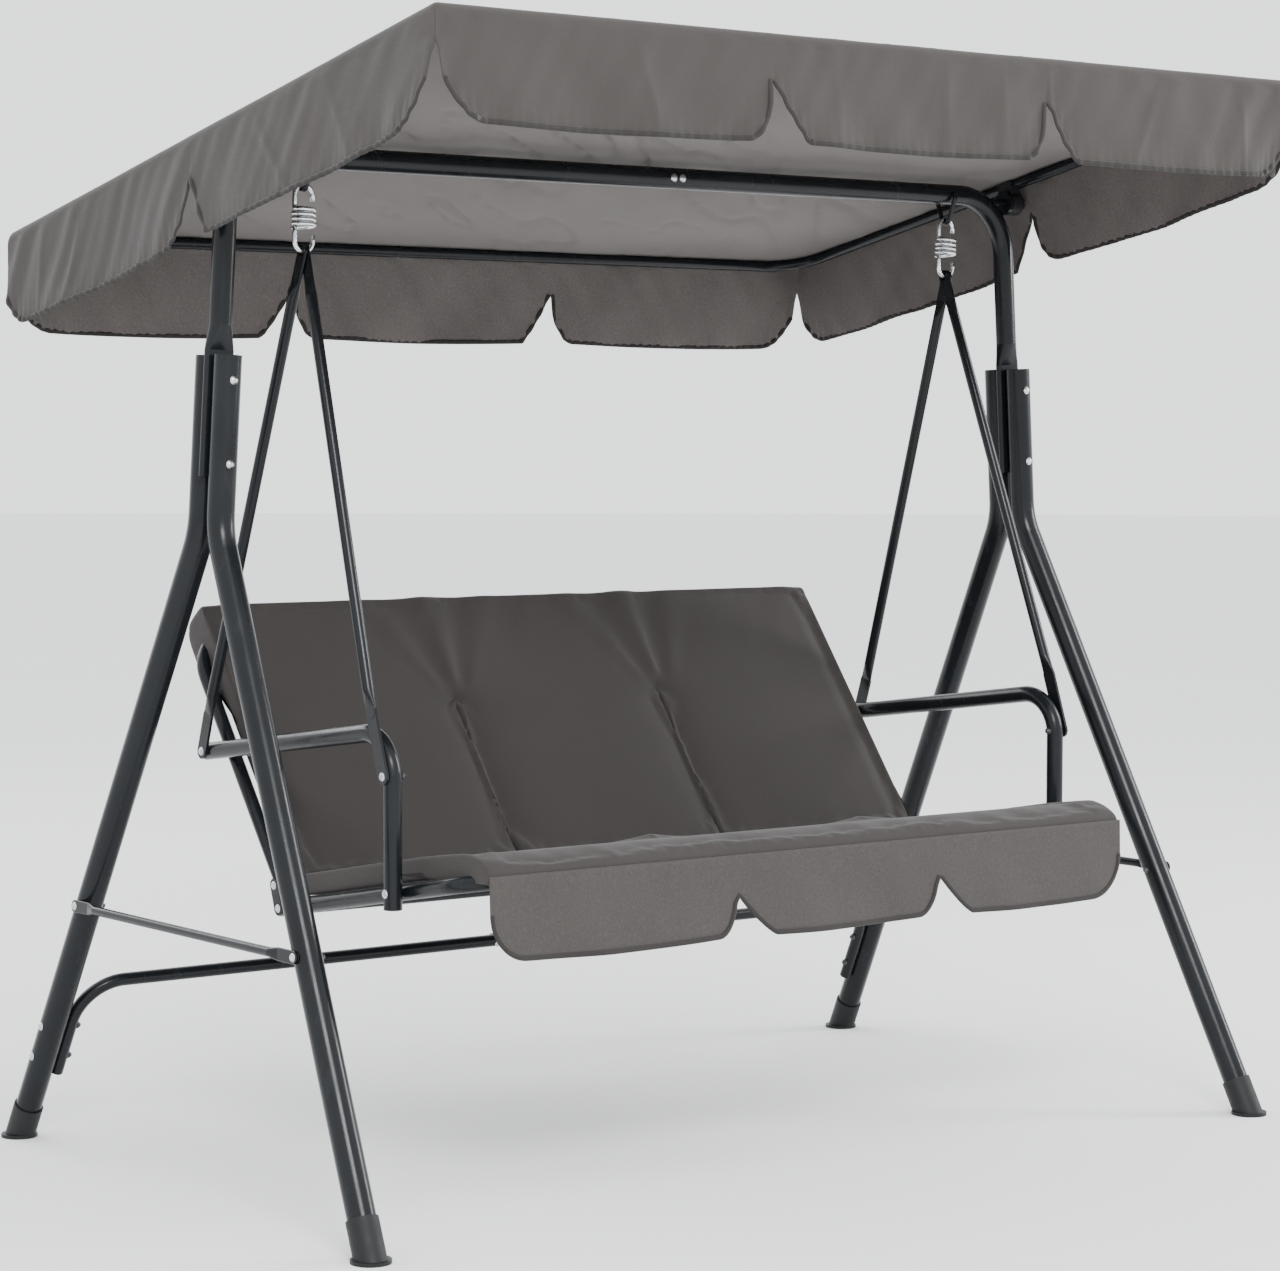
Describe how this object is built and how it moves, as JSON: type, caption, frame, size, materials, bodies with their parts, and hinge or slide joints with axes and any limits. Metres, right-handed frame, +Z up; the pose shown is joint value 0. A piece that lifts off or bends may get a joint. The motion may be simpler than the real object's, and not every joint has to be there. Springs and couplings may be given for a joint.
{
  "type": "garden canopy swing",
  "caption": "Freestanding garden swing seat hung on springs from a tubular frame, with padded cushions and a tilting fabric canopy.",
  "frame": {"origin": "on the ground, below the middle of the canopy and the hanging point of the seat", "axes": "+X along the seat, to the right as seen from the front; +Y to the rear, behind the backrest; +Z up"},
  "size_m": [1.633, 1.1417, 1.557],
  "materials": {
    "black_steel": "satin",
    "black_plastic": "matte",
    "zinc_wire": "polished",
    "zinc_fasteners": "satin",
    "black_nuts": "satin",
    "canopy_fabric": "matte",
    "cushion_fabric": "matte",
    "sling_fabric": "matte"
  },
  "bodies": {
    "seat": {"armrest_left": "black_steel", "armrest_right": "black_steel", "back_brackets": "black_steel", "back_cushion": "cushion_fabric", "back_frame": "black_steel", "back_sling": "sling_fabric", "cushion_skirt": "cushion_fabric", "hanger_bolts": "zinc_fasteners", "hanger_front_left": "black_steel", "hanger_front_right": "black_steel", "hanger_rear_left": "black_steel", "hanger_rear_right": "black_steel", "seat_bolts": "zinc_fasteners", "seat_cushion": "cushion_fabric", "seat_frame": "black_steel", "seat_nuts": "black_nuts", "seat_rear_tube": "black_steel", "seat_sling": "sling_fabric"},
    "frame": {"bar_bolts": "zinc_fasteners", "brace_bolts": "zinc_fasteners", "crossbar_bolts": "zinc_fasteners", "foot_cap_front_left": "black_plastic", "foot_cap_front_right": "black_plastic", "foot_cap_rear_left": "black_plastic", "foot_cap_rear_right": "black_plastic", "frame_nuts": "black_nuts", "hook_left": "black_steel", "hook_right": "black_steel", "leg_front_left": "black_steel", "leg_front_right": "black_steel", "leg_rear_left": "black_steel", "leg_rear_right": "black_steel", "pivot_stub_left": "black_steel", "pivot_stub_right": "black_steel", "post_bolts": "zinc_fasteners", "rear_crossbar_left": "black_steel", "rear_crossbar_right": "black_steel", "side_brace_left": "black_steel", "side_brace_right": "black_steel", "top_tube_left": "black_steel", "top_tube_right": "black_steel"},
    "canopy": {"canopy_bar_front": "black_steel", "canopy_bar_left": "black_steel", "canopy_bar_rear": "black_steel", "canopy_bar_right": "black_steel", "canopy_corner_front_left": "black_steel", "canopy_corner_front_right": "black_steel", "canopy_corner_rear_left": "black_steel", "canopy_corner_rear_right": "black_steel", "canopy_top": "canopy_fabric", "tilt_clamp_left": "black_plastic", "tilt_clamp_right": "black_plastic", "valance_front": "canopy_fabric", "valance_left": "canopy_fabric", "valance_rear": "canopy_fabric", "valance_right": "canopy_fabric"},
    "suspension": {"spring_left": "zinc_wire", "spring_right": "zinc_wire"},
    "knob_left": {"tilt_knob_left": "black_plastic"},
    "knob_right": {"tilt_knob_right": "black_plastic"}
  },
  "joints": [
    {"name": "swing", "type": "hinge", "parent": "frame", "child": "suspension", "pos_m": [0, 0, 1.37218], "axis": [1, 0, 0], "range_deg": [-20, 20]},
    {"name": "spring_stretch", "type": "slide", "parent": "suspension", "child": "seat", "axis": [0, 0, 1], "range_m": [-0.02, 0], "stiffness_N_per_m": 40000, "springref_m": 0.012, "deforming": ["spring_left", "spring_right"]},
    {"name": "canopy_tilt", "type": "hinge", "parent": "frame", "child": "canopy", "pos_m": [0, 0, 1.402], "axis": [1, 0, 0], "range_deg": [-20, 40]},
    {"name": "knob_turn_left", "type": "hinge", "parent": "frame", "child": "knob_left", "pos_m": [-0.744, 0, 1.402], "axis": [-1, 0, 0], "range_deg": [0, 360]},
    {"name": "knob_turn_right", "type": "hinge", "parent": "frame", "child": "knob_right", "pos_m": [0.744, 0, 1.402], "axis": [1, 0, 0], "range_deg": [0, 360]}
  ]
}
